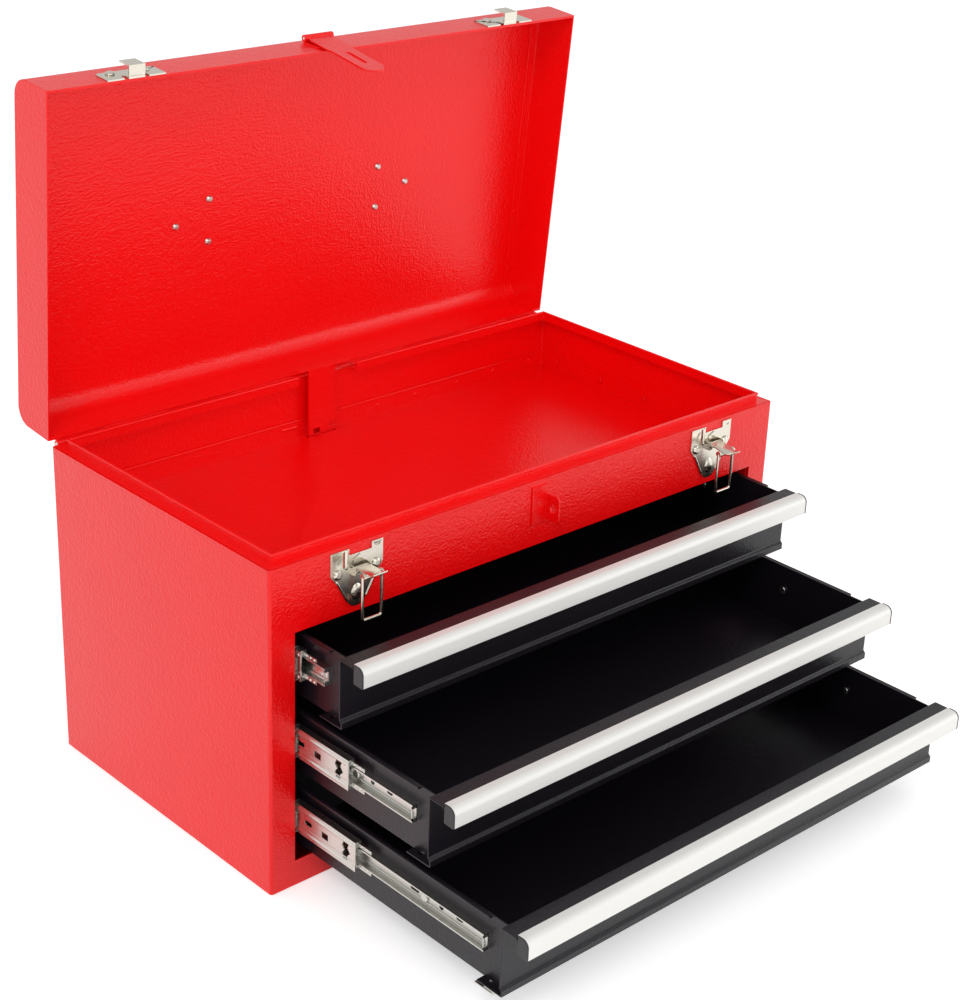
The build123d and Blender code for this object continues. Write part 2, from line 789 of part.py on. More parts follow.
# ---- carrying handle: two brackets, a bent rod and a grip, lying back on the lid
with BuildPart() as handle_brackets:
    plate_top = lid_top + handle_bracket_sheet
    ear_top = handle_pivot_z + handle_ear_width / 2
    for centre in handle_centres:
        block(
            (centre - handle_bracket_half, handle_y - handle_bracket_half, lid_top),
            (centre + handle_bracket_half, handle_y + handle_bracket_half, plate_top),
        )
        x0 = centre - handle_ear_thickness / 2
        x1 = centre + handle_ear_thickness / 2
        block(
            (x0, handle_y - handle_ear_width / 2, lid_top),
            (x1, handle_y + handle_ear_width / 2, handle_pivot_z),
        )
        rod_x(x0, x1, handle_y, handle_pivot_z, handle_ear_width / 2)
        rod_x(x0, x1, handle_y, handle_pivot_z, handle_rod_radius + handle_rod_gap, Mode.SUBTRACT)
    for x, y in handle_rivets_at:
        rod_z(x, y, lid_top - cut_margin, plate_top + cut_margin, rivet_hole_radius, Mode.SUBTRACT)
keep(opened(handle_brackets.part), "handle_brackets")

with BuildPart() as handle_rivets:
    for x, y in handle_rivets_at:
        rod_z(x, y, lid_top - sheet, plate_top, rivet_shank_radius)
        rod_z(x, y, plate_top, plate_top + rivet_head_height / 2, rivet_head_radius)
        with BuildSketch(Plane.XY.offset(lid_top - sheet)):
            with Locations((x, y)):
                Circle(rivet_tail_radius)
        extrude(amount=-rivet_head_height, taper=rivet_dome_taper)
keep(opened(handle_rivets.part), "handle_rivets")

rod_end = handle_spacing / 2 + handle_ear_thickness / 2 + handle_rod_radius
arm_x = handle_spacing / 2 - handle_arm_inset
grip_y = handle_y + handle_arm
with BuildPart() as handle_bail:
    with BuildLine(Plane.XY.offset(handle_pivot_z)):
        FilletPolyline(
            (-rod_end, handle_y),
            (-arm_x, handle_y),
            (-arm_x, grip_y),
            (arm_x, grip_y),
            (arm_x, handle_y),
            (rod_end, handle_y),
            radius=handle_bend_radius,
        )
    with BuildSketch(Plane((-rod_end, handle_y, handle_pivot_z), z_dir=(1, 0, 0))):
        Circle(handle_rod_radius)
    sweep()
keep(opened(handle_bail.part), "handle_bail")

with BuildPart() as handle_grip:
    grip_half = handle_grip_length / 2
    rod_x(-grip_half, grip_half, grip_y, handle_pivot_z, handle_grip_radius)
    rod_x(-grip_half, grip_half, grip_y, handle_pivot_z, handle_rod_radius, Mode.SUBTRACT)
keep(opened(handle_grip.part), "handle_grip")

# ================================================================ drawers


for index, name in enumerate(drawer_names):
    z0 = drawer_first_bottom + index * drawer_pitch
    y0 = front_y - drawer_extensions[index]
    back_y = y0 + drawer_box_length + drawer_sheet
    floor_z = z0 + drawer_sheet
    wall_top = z0 + drawer_wall_height
    slide_z = z0 + slide_height_in_drawer
    catch_z = z0 + catch_height
    rivet_ys = (y0 + drawer_rivet_front, y0 + drawer_box_length - drawer_rivet_from_back)

    # The drawer's box: floor, two sides with rolled tops, and a back with its lock catch.
    with BuildPart() as drawer_box:
        block((-drawer_half, y0 + drawer_sheet, floor_z), (drawer_half, back_y, floor_z + drawer_sheet))
        block((-drawer_half, back_y - drawer_sheet, floor_z), (drawer_half, back_y, wall_top))
        for side in (-1, 1):
            wall = sorted((side * drawer_half, side * (drawer_half - drawer_sheet)))
            roll = sorted((side * (drawer_half - drawer_sheet), side * (drawer_half + drawer_roll)))
            block((wall[0], y0 + drawer_sheet, floor_z), (wall[1], back_y, wall_top))
            block(
                (roll[0], y0 + drawer_roll_start, wall_top - drawer_roll_thickness),
                (roll[1], back_y, wall_top),
            )
            for y in rivet_ys:
                x0, x1 = wall[0] - cut_margin, wall[1] + cut_margin
                rod_x(x0, x1, y, slide_z, rivet_hole_radius, Mode.SUBTRACT)
        catch_low = catch_x - catch_width / 2
        catch_high = catch_x + catch_width / 2
        catch_end = back_y + catch_reach
        block((catch_low, back_y, catch_z), (catch_high, catch_end, catch_z + drawer_sheet))
        block((catch_low, catch_end - drawer_sheet, catch_z), (catch_high, catch_end, catch_z + catch_rise))
    keep(drawer_box.part, f"drawer_box_{name}")

    # The front panel: a jogged foot, a return under the floor, and a lip folded forward at the top.
    panel_back = y0 + drawer_sheet
    lip_y = y0 - front_lip
    lip_top = z0 + front_height
    jog_top = z0 + front_jog_height
    jog_back = jog_top - drawer_sheet / 2
    with BuildPart() as drawer_front:
        block((-front_half, y0 - front_jog, z0), (front_half, y0 + front_return, floor_z))
        section_x(
            [
                (y0 - front_jog, floor_z),
                (y0 - front_jog, jog_top),
                (y0, jog_top + front_jog),
                (y0, lip_top),
                (panel_back, lip_top),
                (panel_back, jog_back + front_jog),
                (panel_back - front_jog, jog_back),
                (panel_back - front_jog, floor_z),
            ],
            -front_half,
            front_half,
        )
        section_x(
            [
                (y0, lip_top),
                (y0, lip_top - drawer_sheet),
                (lip_y + drawer_sheet, lip_top - drawer_sheet),
                (lip_y + drawer_sheet, lip_top - front_lip_turndown),
                (lip_y, lip_top - front_lip_turndown),
                (lip_y, lip_top),
            ],
            -front_half,
            front_half,
        )
    keep(drawer_front.part, f"drawer_front_{name}")

    # The pull: an aluminium strip over the lip, with a rounded nose, and a plastic cap at each end.
    back = lip_y
    nose = back - pull_depth + drawer_sheet
    top = lip_top + pull_wall
    low = top - pull_height
    inner_nose = nose + pull_wall
    with BuildPart() as drawer_pull:
        with BuildSketch(Plane.YZ.offset(-pull_half_length)):
            with BuildLine():
                FilletPolyline((back + drawer_sheet, top), (nose, top), (nose, low), radius=pull_nose_radius)
                Line((nose, low), (inner_nose, low))
                FilletPolyline(
                    (inner_nose, low),
                    (inner_nose, lip_top),
                    (back - pull_wall, lip_top),
                    radius=pull_nose_radius - pull_wall,
                )
                Polyline(
                    (back - pull_wall, lip_top),
                    (back - pull_wall, lip_top - front_lip_turndown),
                    (back, lip_top - front_lip_turndown),
                    (back, lip_top),
                    (back + drawer_sheet, lip_top),
                    (back + drawer_sheet, top),
                )
            make_face()
        extrude(amount=2 * pull_half_length)
    keep(drawer_pull.part, f"drawer_pull_{name}")

    with BuildPart() as drawer_pull_caps:
        for side in (-1, 1):
            x0, x1 = sorted((side * pull_half_length, side * (pull_half_length + pull_cap_thickness)))
            with BuildSketch(Plane.YZ.offset(x0)):
                with BuildLine():
                    FilletPolyline((back, top), (nose, top), (nose, low), radius=pull_nose_radius)
                    Polyline((nose, low), (inner_nose, low), (back, lip_top - front_lip), (back, top))
                make_face()
            extrude(amount=x1 - x0)
    keep(drawer_pull_caps.part, f"drawer_pull_caps_{name}")

    # The slide in three members: fixed, middle and drawer, each a C-shaped strip.
    outer_face = opening_half
    mid_face = opening_half - slide_mid_offset
    inner_face = drawer_half + slide_inner_depth
    mid_travel = slide_ratios[index] * drawer_extensions[index]
    outer_y = front_y + slide_outer_setback
    mid_y = front_y + slide_mid_setback - mid_travel
    inner_y = y0 + slide_inner_setback
    with BuildPart() as slide_outer:
        for side in (-1, 1):
            web = sorted((side * outer_face, side * (outer_face - slide_sheet)))
            wing = sorted((side * outer_face, side * (outer_face - slide_outer_depth)))
            half = slide_outer_height / 2
            end_y = outer_y + slide_outer_length
            block((web[0], outer_y, slide_z - half), (web[1], end_y, slide_z + half))
            block((wing[0], outer_y, slide_z - half), (wing[1], end_y, slide_z - half + slide_sheet))
            block((wing[0], outer_y, slide_z + half - slide_sheet), (wing[1], end_y, slide_z + half))
    keep(slide_outer.part, f"slide_outer_{name}")

    with BuildPart() as slide_mid:
        for side in (-1, 1):
            web = sorted((side * mid_face, side * (mid_face - slide_sheet)))
            wing = sorted((side * mid_face, side * (mid_face - slide_mid_depth)))
            ball_face = mid_face - slide_mid_depth
            balls = sorted((side * ball_face, side * (ball_face + slide_ball_depth)))
            half = slide_mid_height / 2
            ball_low = slide_inner_height / 2 + seat_gap
            end_y = mid_y + slide_mid_length
            block((web[0], mid_y, slide_z - half), (web[1], end_y, slide_z + half))
            for up in (-1, 1):
                flange = sorted((slide_z + up * half, slide_z + up * (half - slide_sheet)))
                row = sorted((slide_z + up * half, slide_z + up * ball_low))
                block((wing[0], mid_y, flange[0]), (wing[1], end_y, flange[1]))
                block((balls[0], mid_y, row[0]), (balls[1], end_y, row[1]))
    keep(slide_mid.part, f"slide_mid_{name}")

    with BuildPart() as slide_inner:
        for side in (-1, 1):
            web = sorted((side * drawer_half, side * (drawer_half + slide_sheet)))
            wing = sorted((side * drawer_half, side * inner_face))
            half = slide_inner_height / 2
            end_y = inner_y + slide_inner_length
            block((web[0], inner_y, slide_z - half), (web[1], end_y, slide_z + half))
            block((wing[0], inner_y, slide_z - half), (wing[1], end_y, slide_z - half + slide_sheet))
            block((wing[0], inner_y, slide_z + half - slide_sheet), (wing[1], end_y, slide_z + half))
            for y in rivet_ys:
                x0, x1 = web[0] - cut_margin, web[1] + cut_margin
                rod_x(x0, x1, y, slide_z, rivet_hole_radius, Mode.SUBTRACT)
    keep(slide_inner.part, f"slide_inner_{name}")

    # Rivets through the drawer's sides into the drawer members.
    with BuildPart() as drawer_rivets:
        for side in (-1, 1):
            wall_face = drawer_half - drawer_sheet
            web_face = drawer_half + slide_sheet
            shank = sorted((side * wall_face, side * web_face))
            head = sorted((side * wall_face, side * (wall_face - rivet_head_height)))
            tail = sorted((side * web_face, side * (web_face + rivet_head_height)))
            for y in rivet_ys:
                rod_x(shank[0], shank[1], y, slide_z, rivet_shank_radius)
                rod_x(head[0], head[1], y, slide_z, drawer_rivet_radius)
                rod_x(tail[0], tail[1], y, slide_z, drawer_rivet_radius)
    keep(drawer_rivets.part, f"drawer_rivets_{name}")

# Small sprung clips under the front corners of the bottom drawer.
clip_y = front_y - drawer_extensions[0] + clip_setback
clip_top = drawer_first_bottom
with BuildPart() as drawer_clips:
    for side in (-1, 1):
        x0, x1 = sorted((side * (front_half - clip_width), side * front_half))
        block((x0, clip_y, clip_top - sheet), (x1, clip_y + clip_length / 2, clip_top))
        block((x0, clip_y, clip_top - clip_drop), (x1, clip_y + sheet, clip_top))
        block((x0, clip_y, clip_top - clip_drop), (x1, clip_y + clip_length, clip_top - clip_drop + sheet))
keep(drawer_clips.part, "drawer_clips")

# ================================================================ lock bar

# The closing lid lets this bar down, and its fingers drop in front of the catches of shut drawers.
finger_y = lock_bar_y - lock_arm_reach
with BuildPart() as lock_bar:
    block((lock_bar_left, lock_bar_y, lock_bar_bottom), (lock_bar_right, bar_back, lock_bar_top))
    block(
        (-lock_bar_flange_half, lock_bar_y, lock_bar_top - sheet),
        (lock_bar_flange_half, rear_y - sheet - seat_gap, lock_bar_top),
    )
    for index in range(len(drawer_names)):
        catch_z = drawer_first_bottom + index * drawer_pitch + catch_height
        finger_bottom = catch_z + drawer_sheet + lock_catch_clearance + lock_bar_travel
        finger_top = finger_bottom + lock_finger
        arm = (catch_x - lock_arm_half, catch_x + lock_arm_half)
        block((arm[0], finger_y, finger_top), (arm[1], lock_bar_y, finger_top + lock_finger_sheet))
        block((arm[0], finger_y, finger_bottom), (arm[1], finger_y + lock_finger_sheet, finger_top))
keep(lock_bar.part, "lock_bar")

# Guides on the back wall that the bar slides in.
with BuildPart() as lock_guides:
    wall_y = rear_y - sheet
    bar_slot = (lock_bar_y - guide_gap, bar_back + guide_gap)
    for z0 in guide_heights:
        z1 = z0 + guide_length
        outer_left = lock_bar_left - guide_gap - sheet
        outer_right = lock_bar_right + guide_gap + sheet
        lip_front = bar_slot[0] - sheet
        block((outer_left, bar_slot[1], z0), (outer_right, wall_y, z1))
        block((outer_left, lip_front, z0), (outer_left + sheet, wall_y, z1))
        block((outer_right - sheet, lip_front, z0), (outer_right, wall_y, z1))
        block((outer_left, lip_front, z0), (outer_left + guide_lip, bar_slot[0], z1))
        block((outer_right - guide_lip, lip_front, z0), (outer_right, bar_slot[0], z1))
keep(lock_guides.part, "lock_guides")
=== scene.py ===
# %% [markdown]
# # A portable steel tool box with drawers
# The real box is folded from steel sheet, powder coated red outside and black on the drawers.
# Its fittings are nickel and zinc plated, and its drawer pulls are aluminium.
# The engineering model gives every piece its place, and this lesson dresses it: first the camera
# and the light, then each finish, and then the pieces that need more detail than plain solids have.

import json
import math

import bmesh
import bpy
from mathutils import Matrix, Vector

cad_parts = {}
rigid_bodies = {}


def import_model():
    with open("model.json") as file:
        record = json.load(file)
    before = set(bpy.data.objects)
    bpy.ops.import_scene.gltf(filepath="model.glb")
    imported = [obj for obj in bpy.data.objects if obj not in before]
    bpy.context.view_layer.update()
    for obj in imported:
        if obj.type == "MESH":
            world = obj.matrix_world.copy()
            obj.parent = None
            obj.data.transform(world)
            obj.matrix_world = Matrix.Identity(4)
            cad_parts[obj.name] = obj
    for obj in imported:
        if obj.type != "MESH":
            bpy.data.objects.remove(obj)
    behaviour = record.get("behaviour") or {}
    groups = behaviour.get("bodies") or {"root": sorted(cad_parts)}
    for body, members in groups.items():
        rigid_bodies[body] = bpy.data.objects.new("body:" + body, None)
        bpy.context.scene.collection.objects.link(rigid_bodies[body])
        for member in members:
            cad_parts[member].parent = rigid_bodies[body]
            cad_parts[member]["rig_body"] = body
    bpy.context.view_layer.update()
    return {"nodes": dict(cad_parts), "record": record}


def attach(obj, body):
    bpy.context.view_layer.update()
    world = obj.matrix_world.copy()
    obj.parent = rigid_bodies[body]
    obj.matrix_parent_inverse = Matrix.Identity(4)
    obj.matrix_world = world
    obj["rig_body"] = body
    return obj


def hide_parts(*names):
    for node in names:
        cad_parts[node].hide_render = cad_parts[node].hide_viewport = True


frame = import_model()
nodes = frame["nodes"]
MM = 0.001

# %% [markdown]
# The photograph was taken from the box's left front, a little above it, with a longish lens.
# Its direction and distance come from lines on the box that are parallel or square to each other.

# %% Camera
camera_place = Vector((-0.97933, -1.10519, 0.85437))
camera_azimuth = math.radians(43.27)
camera_pitch = math.radians(-24.16)
camera_roll = math.radians(2.30)
focal_pixels = 2038.4
image_height = 1000.0
sensor_mm = 36.0

camera_data = bpy.data.cameras.new("photo_camera")
camera_data.sensor_width = sensor_mm
camera_data.lens = focal_pixels * sensor_mm / image_height
camera = bpy.data.objects.new("photo_camera", camera_data)
bpy.context.scene.collection.objects.link(camera)
turn = Matrix.Rotation(-camera_azimuth, 4, "Z") @ Matrix.Rotation(math.pi / 2 + camera_pitch, 4, "X")
camera.matrix_world = Matrix.Translation(camera_place) @ turn @ Matrix.Rotation(camera_roll, 4, "Z")
bpy.context.scene.camera = camera
print("lens:", round(camera_data.lens, 2), "mm")

# %% [markdown]
# Each finish is a small node tree. One function turns a hex colour, as a paint chart gives it,
# into the linear values that a shader reads, and one function adds a node with its settings.

# %% Helpers for materials


def hex_colour(code):
    """A linear colour from an sRGB hex value."""
    parts = [int(code[i : i + 2], 16) / 255 for i in (1, 3, 5)]
    linear = [c / 12.92 if c <= 0.04045 else ((c + 0.055) / 1.055) ** 2.4 for c in parts]
    return (*linear, 1.0)


def add(tree, kind, links=None, **settings):
    """One node: settings name attributes or input sockets, links name what feeds an input."""
    node = tree.nodes.new(kind)
    for name, value in settings.items():
        if name.startswith("in_"):
            key = name[3:]
            key = int(key) if key.isdigit() else key.replace("_", " ")
            node.inputs[key].default_value = value
        else:
            setattr(node, name, value)
    for key, source in (links or {}).items():
        tree.links.new(source, node.inputs[key])
    return node


def new_material(name):
    """A material with an empty tree, and its object coordinates."""
    material = bpy.data.materials.new(name)
    material.use_nodes = True
    tree = material.node_tree
    tree.nodes.clear()
    place = add(tree, "ShaderNodeTexCoord").outputs["Object"]
    return material, tree, place


def finish_material(tree, shader):
    """Send a shader to the material's surface."""
    add(tree, "ShaderNodeOutputMaterial", {"Surface": shader.outputs[0]})


# %% [markdown]
# **Powder coat, red.** Paint dust melted onto steel leaves an orange-peel surface with soft dimples
# one to two millimetres apart. The gloss stays high between them, so highlights break into grains.


# %% Powder coats
def powder_coat(name, base, tint, grain_mm, depth_mm, roughness, coat):
    material, tree, place = new_material(name)
    dimples = {"feature": "SMOOTH_F1", "in_Scale": 1 / (grain_mm * MM), "in_Smoothness": 0.6}
    cells = add(tree, "ShaderNodeTexVoronoi", {"Vector": place}, **dimples)
    wave_scale = 1 / (3 * grain_mm * MM)
    waves = add(tree, "ShaderNodeTexNoise", {"Vector": place}, in_Scale=wave_scale, in_Detail=4.0)
    links = {0: cells.outputs["Distance"], 1: waves.outputs["Fac"]}
    height = add(tree, "ShaderNodeMath", links, operation="ADD")
    relief = {"in_Strength": 0.7, "in_Distance": depth_mm * MM}
    bump = add(tree, "ShaderNodeBump", {"Height": height.outputs[0]}, **relief)
    clouds = add(tree, "ShaderNodeTexNoise", {"Vector": place}, in_Scale=9.0, in_Detail=2.0)
    colours = {"in_6": hex_colour(base), "in_7": hex_colour(tint)}
    tone = add(tree, "ShaderNodeMix", {0: clouds.outputs["Fac"]}, data_type="RGBA", **colours)
    shine_range = {"in_3": roughness - 0.04, "in_4": roughness + 0.05}
    shine = add(tree, "ShaderNodeMapRange", {"Value": waves.outputs["Fac"]}, **shine_range)
    shader = add(
        tree,
        "ShaderNodeBsdfPrincipled",
        {
            "Base Color": tone.outputs[2],
            "Normal": bump.outputs["Normal"],
            "Coat Normal": bump.outputs["Normal"],
            "Roughness": shine.outputs[0],
        },
        in_IOR=1.42,
        in_Coat_Weight=coat,
        in_Coat_Roughness=0.12,
    )
    finish_material(tree, shader)
    return material


red_coat = powder_coat("powder coated steel, red", "#F00306", "#FA0407", 1.7, 0.38, 0.3, 0.12)
black_coat = powder_coat("powder coated steel, black", "#120D14", "#19141B", 1.6, 0.2, 0.34, 0.05)
print("coats:", red_coat.name, "and", black_coat.name)

# %% [markdown]
# **Plated and bare metals.** Nickel plate is warm and mirror-like with faint waviness from pressing.
# Zinc plate is cooler and a little hazy. The pulls are extruded aluminium, brushed along their length.


# %% Metals
def plated(name, colour, roughness, wave_mm, wave_depth_mm):
    material, tree, place = new_material(name)
    waves = add(tree, "ShaderNodeTexNoise", {"Vector": place}, in_Scale=1 / (wave_mm * MM), in_Detail=2.0)
    relief = {"in_Strength": 0.25, "in_Distance": wave_depth_mm * MM}
    bump = add(tree, "ShaderNodeBump", {"Height": waves.outputs["Fac"]}, **relief)
    shine_range = {"in_3": roughness - 0.05, "in_4": roughness + 0.07}
    shine = add(tree, "ShaderNodeMapRange", {"Value": waves.outputs["Fac"]}, **shine_range)
    shader = add(
        tree,
        "ShaderNodeBsdfPrincipled",
        {"Normal": bump.outputs["Normal"], "Roughness": shine.outputs[0]},
        in_Base_Color=hex_colour(colour),
        in_Metallic=1.0,
    )
    finish_material(tree, shader)
    return material


def brushed(name, colour, roughness, grain_mm, stretch, metallic):
    material, tree, place = new_material(name)
    along = add(tree, "ShaderNodeMapping", {"Vector": place}, in_Scale=(1 / stretch, 1.0, 1.0))
    texture = {"in_Scale": 1 / (grain_mm * MM), "in_Detail": 3.0}
    grain = add(tree, "ShaderNodeTexNoise", {"Vector": along.outputs[0]}, **texture)
    relief = {"in_Strength": 0.25, "in_Distance": 0.02 * MM}
    bump = add(tree, "ShaderNodeBump", {"Height": grain.outputs["Fac"]}, **relief)
    shine_range = {"in_3": roughness - 0.06, "in_4": roughness + 0.1}
    shine = add(tree, "ShaderNodeMapRange", {"Value": grain.outputs["Fac"]}, **shine_range)
    shader = add(
        tree,
        "ShaderNodeBsdfPrincipled",
        {"Normal": bump.outputs["Normal"], "Roughness": shine.outputs[0]},
        in_Base_Color=hex_colour(colour),
        in_Metallic=metallic,
    )
    finish_material(tree, shader)
    return material


nickel = plated("nickel plated steel", "#D9D3C6", 0.2, 4.0, 0.05)
zinc = plated("zinc plated steel", "#C9C8C2", 0.28, 6.0, 0.03)
aluminium = brushed("extruded aluminium, satin", "#ECEBE7", 0.5, 0.5, 60.0, 0.45)
print("metals:", nickel.name, zinc.name, aluminium.name)

# %% [markdown]
# **Moulded plastic.** The end caps of the pulls and the handle's grip are injection moulded:
# an even dark colour with the fine dull grain of a spark-eroded mould.


# %% Plastics
def moulded(name, colour, roughness):
    material, tree, place = new_material(name)
    grain = add(tree, "ShaderNodeTexNoise", {"Vector": place}, in_Scale=1 / (0.6 * MM), in_Detail=2.0)
    relief = {"in_Strength": 0.3, "in_Distance": 0.03 * MM}
    bump = add(tree, "ShaderNodeBump", {"Height": grain.outputs["Fac"]}, **relief)
    shader = add(
        tree,
        "ShaderNodeBsdfPrincipled",
        {"Normal": bump.outputs["Normal"]},
        in_Base_Color=hex_colour(colour),
        in_Roughness=roughness,
        in_IOR=1.5,
    )
    finish_material(tree, shader)
    return material


cap_plastic = moulded("moulded ABS, dark grey", "#2A2A2C", 0.5)
grip_plastic = moulded("moulded PVC, black", "#141414", 0.45)
finishes = {
    "red_paint": red_coat,
    "black_paint": black_coat,
    "nickel": nickel,
    "zinc": zinc,
    "aluminium": aluminium,
    "cap_plastic": cap_plastic,
    "grip_plastic": grip_plastic,
}
print("finishes:", len(finishes))

# %% [markdown]
# Pressed details are made of a few plain shapes: outlines pushed to a thickness, and turned bodies.
# Each shape is a list of corners and faces in millimetres. Some are cut out of a piece, and some
# are sunk halfway into it, which is how a rib or an embossed mark looks from outside.

# %% Helpers for shapes
axis_order = {"X": (1, 2, 0), "Y": (0, 2, 1), "Z": (0, 1, 2)}


def rectangle(u0, v0, u1, v1):
    return [(u0, v0), (u1, v0), (u1, v1), (u0, v1)]


def circle(u, v, radius, steps=24):
    angles = [2 * math.pi * step / steps for step in range(steps)]
    return [(u + radius * math.cos(angle), v + radius * math.sin(angle)) for angle in angles]


def slot(u, v, length, width, steps=8):
    """A slot along the first direction, with round ends."""
    points = []
    for side in (1, -1):
        for step in range(steps + 1):
            angle = math.pi * (step / steps - 0.5)
            reach = side * (length - width) / 2
            across = u + reach + side * width / 2 * math.cos(angle)
            points.append((across, v + side * width / 2 * math.sin(angle)))
    return points


def prism(outline, low, high, axis):
    """An outline pushed along an axis from low to high."""
    order = axis_order[axis]
    corners = []
    for level in (low, high):
        for point in outline:
            corner = [0.0, 0.0, 0.0]
            for place_in, value in zip(order, (*point, level)):
                corner[place_in] = value
            corners.append(Vector(corner))
    count = len(outline)
    sides = [(i, (i + 1) % count, (i + 1) % count + count, i + count) for i in range(count)]
    return corners, [tuple(range(count)), tuple(range(count, 2 * count)), *sides]


def lathe(start, end, profile, steps=16):
    """A turned body on the line from start to end: the profile lists distances along it and radii."""
    along = (Vector(end) - Vector(start)).normalized()
    side = along.orthogonal().normalized()
    other = along.cross(side)
    corners = []
    for distance, radius in profile:
        for u, v in circle(0, 0, radius, steps):
            corners.append(Vector(start) + along * distance + side * u + other * v)
    faces = [tuple(range(steps)), tuple(range(len(corners) - steps, len(corners)))]
    for ring in range(0, len(corners) - steps, steps):
        for step in range(steps):
            after = (step + 1) % steps
            faces.append((ring + step, ring + after, ring + after + steps, ring + step + steps))
    return corners, faces


round_end = [0.2, 0.6, 1.0, 1.3, math.pi / 2]


def bead(start, end, radius, steps=12):
    """A round bar with round ends."""
    length = (Vector(end) - Vector(start)).length
    near = [(-radius * math.cos(angle), radius * math.sin(angle)) for angle in round_end]
    far = [(length - distance, size) for distance, size in reversed(near)]
    return lathe(start, end, near + far, steps)


def blob(centre, radii, steps=24):
    """An egg shape with its three radii along X, Y and Z."""
    corners, faces = bead((0, 0, -1e-6), (0, 0, 1e-6), 1.0, steps)
    scaled = [Vector(centre) + Vector([c * size for c, size in zip(corner, radii)]) for corner in corners]
    return scaled, faces


def mesh_of(name, shapes, turn):
    """All the shapes as one mesh in metres, turned to where its body stands."""
    work = bmesh.new()
    for corners, faces in shapes:
        verts = [work.verts.new(turn @ (corner * MM)) for corner in corners]
        for face in faces:
            work.faces.new([verts[index] for index in face])
    bmesh.ops.recalc_face_normals(work, faces=work.faces)
    mesh = bpy.data.meshes.new(name)
    work.to_mesh(mesh)
    work.free()
    return mesh


front_y = -134.4
rear_y = 134.4
hinge_place = Vector((0, 137.7, 255.5)) * MM
lid_open = math.radians(85.1)
lid_swing = Matrix.Rotation(-lid_open, 4, "X")
open_turn = Matrix.Translation(hinge_place) @ lid_swing @ Matrix.Translation(-hinge_place)
cuts = {name: [] for name in nodes}
adds = {name: [] for name in nodes}
print("the open lid is turned by", round(math.degrees(lid_open), 1), "degrees")

# %% [markdown]
# **Ball slides.** The middle member of each slide is rolled into two round races with a flat web
# between them, and the web has a release window near its front end and a square one behind it.
# The drawer member is an open channel with slots and a rivet, closed at the front by a bent tab.

# %% Ball slides
drawer_bottoms = {"bottom": 25.0, "middle": 86.3, "top": 147.6}
drawer_faces = {"bottom": -344.0, "middle": -271.3, "top": -178.0}
mid_fronts = {"bottom": -198.8, "middle": -190.3, "top": -137.8}
window_front = [(8, -8), (8.6, -3), (5.6, 0), (8.4, 3.4)]
window_back = [(7, 8), (12.5, 8), (14.6, 3.4), (12.2, 0), (14.6, -3), (12.2, -8)]
window = window_back + window_front
slide_rise = 31.0
slide_setback = 18.0
race_length = 219
ball_radii = (1.2, 1.2, 1.2)
ball_pitch = 4.2
frame_half = 6.5
inner_slots = {
    "bottom": [(28, 1.2, 7, 3.2), (46, 0.6, 4.4, 4.0), (73, 0.6, 9, 3.2)],
    "middle": [(28, 1.2, 6, 3.2), (46, 0.6, 4, 3.9), (73, 0.6, 9, 3.2)],
    "top": [(28, 1.2, 6, 3.2)],
}
for drawer, bottom in drawer_bottoms.items():
    z = bottom + slide_rise
    front = mid_fronts[drawer]
    inner_front = drawer_faces[drawer] + slide_setback
    mid, inner, outer = (f"slide_{member}_{drawer}" for member in ("mid", "inner", "outer"))
    for side in (-1, 1):
        face = side * 231.4
        through = sorted((side * 229.5, side * 232.2))
        cuts[mid].append(prism([(front + y, z + up) for y, up in window], *through, "X"))
        cuts[mid].append(prism(rectangle(front + 30, z - 2.4, front + 37, z + 2.6), *through, "X"))
        cuts[mid].append(prism(slot(front + 52, z + 1, 8, 3.4), *through, "X"))
        for up in (-1, 1):
            race = (face - side * 1.9, z + up * 8.6)
            race_end = (race[0], front + race_length, race[1])
            adds[mid].append(bead((race[0], front + 3, race[1]), race_end, 2.6))
        crease = face - side * 0.15
        adds[mid].append(bead((crease, front + 1, z - 4.6), (crease, front + 221, z - 4.6), 0.45))
        cage = sorted((side * 227.2, side * 227.9))
        adds[mid].append(prism(rectangle(front - 13, z + 7.1, front, z + 9.9), *cage, "X"))
        adds[mid].append(prism(rectangle(front - 13, z - 9.9, front, z - 7.1), *cage, "X"))
        for step in range(3):
            for up in (-1, 1):
                ball = (side * 227.6, front - 10.6 + ball_pitch * step, z + up * 8.5)
                adds[mid].append(blob(ball, ball_radii, 12))
        wall = sorted((side * 222.6, side * 224.6))
        for y, up, length, width in inner_slots[drawer]:
            cuts[inner].append(prism(slot(inner_front + y, z + up, length, width), *wall, "X"))
        tab = sorted((side * 224.0, side * 228.2))
        hollow = (side * 226.2 - 1.3, side * 226.2 + 1.3)
        frame_bars = [
            rectangle(tab[0], z + 3.6, tab[1], z + frame_half),
            rectangle(tab[0], z - frame_half, tab[1], z - 3.6),
            rectangle(tab[0], z - frame_half, hollow[0], z + frame_half),
            rectangle(hollow[1], z - frame_half, tab[1], z + frame_half),
        ]
        for bar in frame_bars:
            adds[inner].append(prism(bar, inner_front, inner_front + 1, "Y"))
        rail = side * 224.1
        adds[inner].append(bead((rail, inner_front + 2, z - 3.4), (rail, inner_front + 218, z - 3.4), 0.6))
        hook = side * 232.6
        adds[outer].append(bead((hook, front_y + 3.4, z + 2), (hook, front_y + 9, z + 7), 1.1))
        adds[outer].append(bead((hook, front_y + 3.4, z + 2), (hook, front_y + 3.4, z - 8), 0.9))
print("slide cuts:", sum(len(cuts[name]) for name in nodes if name.startswith("slide")))

# %% [markdown]
# **Draw latches.** The plate is pressed from strip: a folded triangle in its left tab, an upright
# loop beside it, a raised gable in the middle and a round boss at the foot.

